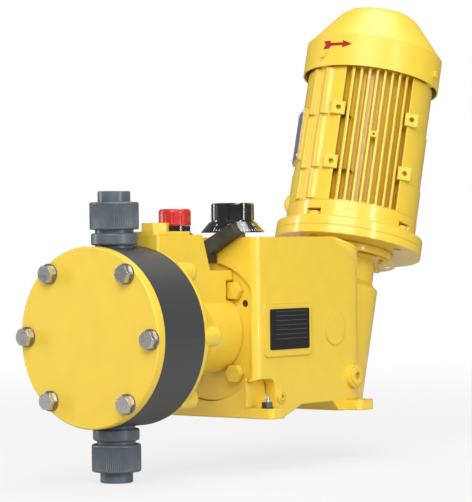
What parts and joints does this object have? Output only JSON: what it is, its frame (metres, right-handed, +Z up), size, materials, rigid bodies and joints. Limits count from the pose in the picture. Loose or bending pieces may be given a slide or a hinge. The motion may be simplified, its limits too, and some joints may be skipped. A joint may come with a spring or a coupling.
{
  "type": "diaphragm metering pump",
  "caption": "Motor-driven diaphragm metering pump: round pump head with vertical valve unions, gearbox with stroke knob and tilted finned motor.",
  "frame": {"origin": "middle of the four foot holes, on the plane the feet stand on", "axes": "+Z up, +Y from the pump head to the motor along the plunger, +X to the right seen from the pump head"},
  "size_m": [0.1916, 0.5729, 0.487],
  "materials": {
    "yellow_paint": "semi-gloss enamel over cast metal",
    "stainless_steel": "plain",
    "dark_plastic": "turned, satin",
    "grey_plastic": "moulded, satin",
    "white_seal": "smooth",
    "ceramic": "polished",
    "black_plastic": "moulded, gloss",
    "red_plastic": "moulded",
    "label_film": "printed film, left blank",
    "machined_steel": "turned",
    "bronze": "turned"
  },
  "bodies": {
    "pump_body": {"clamping_plate": "yellow_paint", "liquid_head": "dark_plastic", "head_screws": "stainless_steel", "head_washers": "stainless_steel", "diaphragm": "white_seal", "support_plate": "stainless_steel", "discharge_valve_housing": "grey_plastic", "discharge_seat": "ceramic", "discharge_socket": "grey_plastic", "suction_valve_housing": "grey_plastic", "suction_seat": "ceramic", "suction_socket": "grey_plastic", "bell": "yellow_paint", "relief_plug": "yellow_paint", "fill_neck": "black_plastic", "plunger_liner": "stainless_steel", "bell_bolts": "yellow_paint", "gear_housing": "yellow_paint", "hub_bolts": "stainless_steel", "label_plate": "label_film", "drain_plug": "machined_steel", "level_plug": "machined_steel", "earth_stud": "stainless_steel", "earth_nut": "stainless_steel", "slot_guard": "black_plastic", "wheel_bearings": "machined_steel", "worm_bearings": "machined_steel", "motor_adapter": "yellow_paint", "end_shield": "yellow_paint", "motor_frame": "yellow_paint", "terminal_box": "yellow_paint", "terminal_lid": "yellow_paint", "stator_core": "machined_steel", "motor_bearings": "machined_steel", "rear_shield": "yellow_paint", "fan_cowl": "yellow_paint", "cowl_screws": "stainless_steel", "flange_nuts": "stainless_steel", "motor_plate": "label_film"},
    "rotor": {"motor_shaft": "stainless_steel", "rotor_core": "machined_steel", "fan": "black_plastic", "worm_shaft": "machined_steel"},
    "wheel": {"worm_wheel": "bronze", "eccentric_shaft": "machined_steel"},
    "plunger_set": {"plunger": "stainless_steel", "crosshead": "machined_steel"},
    "knob": {"stroke_knob": "black_plastic"},
    "spindle": {"stroke_spindle": "machined_steel"},
    "discharge_ball_body": {"discharge_ball": "ceramic"},
    "suction_ball_body": {"suction_ball": "ceramic"},
    "discharge_nut_body": {"discharge_union_nut": "grey_plastic"},
    "suction_nut_body": {"suction_union_nut": "grey_plastic"},
    "fill_cap_body": {"fill_cap": "red_plastic"}
  },
  "joints": [
    {"name": "motor_turn", "type": "hinge", "parent": "pump_body", "child": "rotor", "pos_m": [0, 0.1518, 0.1666], "axis": [0, 0.2521, 0.9677], "continuous": true},
    {"name": "wheel_turn", "type": "hinge", "parent": "pump_body", "child": "wheel", "pos_m": [0, 0.041, 0.086], "axis": [1, 0, 0], "continuous": true},
    {"name": "plunger_stroke", "type": "slide", "parent": "pump_body", "child": "plunger_set", "axis": [0, -1, 0], "range_m": [0, 0.012]},
    {"name": "knob_turn", "type": "hinge", "parent": "pump_body", "child": "knob", "pos_m": [0, -0.05, 0.186], "axis": [0, 0, 1], "range_deg": [0, 300]},
    {"name": "spindle_feed", "type": "slide", "parent": "pump_body", "child": "spindle", "axis": [0, 0, -1], "range_m": [0, 0.01]},
    {"name": "discharge_ball_lift", "type": "slide", "parent": "pump_body", "child": "discharge_ball_body", "axis": [0, 0, 1], "range_m": [0, 0.0028]},
    {"name": "suction_ball_lift", "type": "slide", "parent": "pump_body", "child": "suction_ball_body", "axis": [0, 0, 1], "range_m": [0, 0.0028]},
    {"name": "discharge_nut_turn", "type": "hinge", "parent": "pump_body", "child": "discharge_nut_body", "pos_m": [0, -0.2345, 0.2], "axis": [0, 0, 1], "range_deg": [0, 540]},
    {"name": "suction_nut_turn", "type": "hinge", "parent": "pump_body", "child": "suction_nut_body", "pos_m": [0, -0.2345, -0.03], "axis": [0, 0, -1], "range_deg": [0, 540]},
    {"name": "fill_cap_turn", "type": "hinge", "parent": "pump_body", "child": "fill_cap_body", "pos_m": [0, -0.143, 0.2], "axis": [0, 0, 1], "range_deg": [0, 540]}
  ],
  "couplings": [
    {"joint": "wheel_turn", "follows": "motor_turn", "ratio": 0.066667},
    {"joint": "spindle_feed", "follows": "knob_turn", "m_per_rad": 0.0019098}
  ]
}
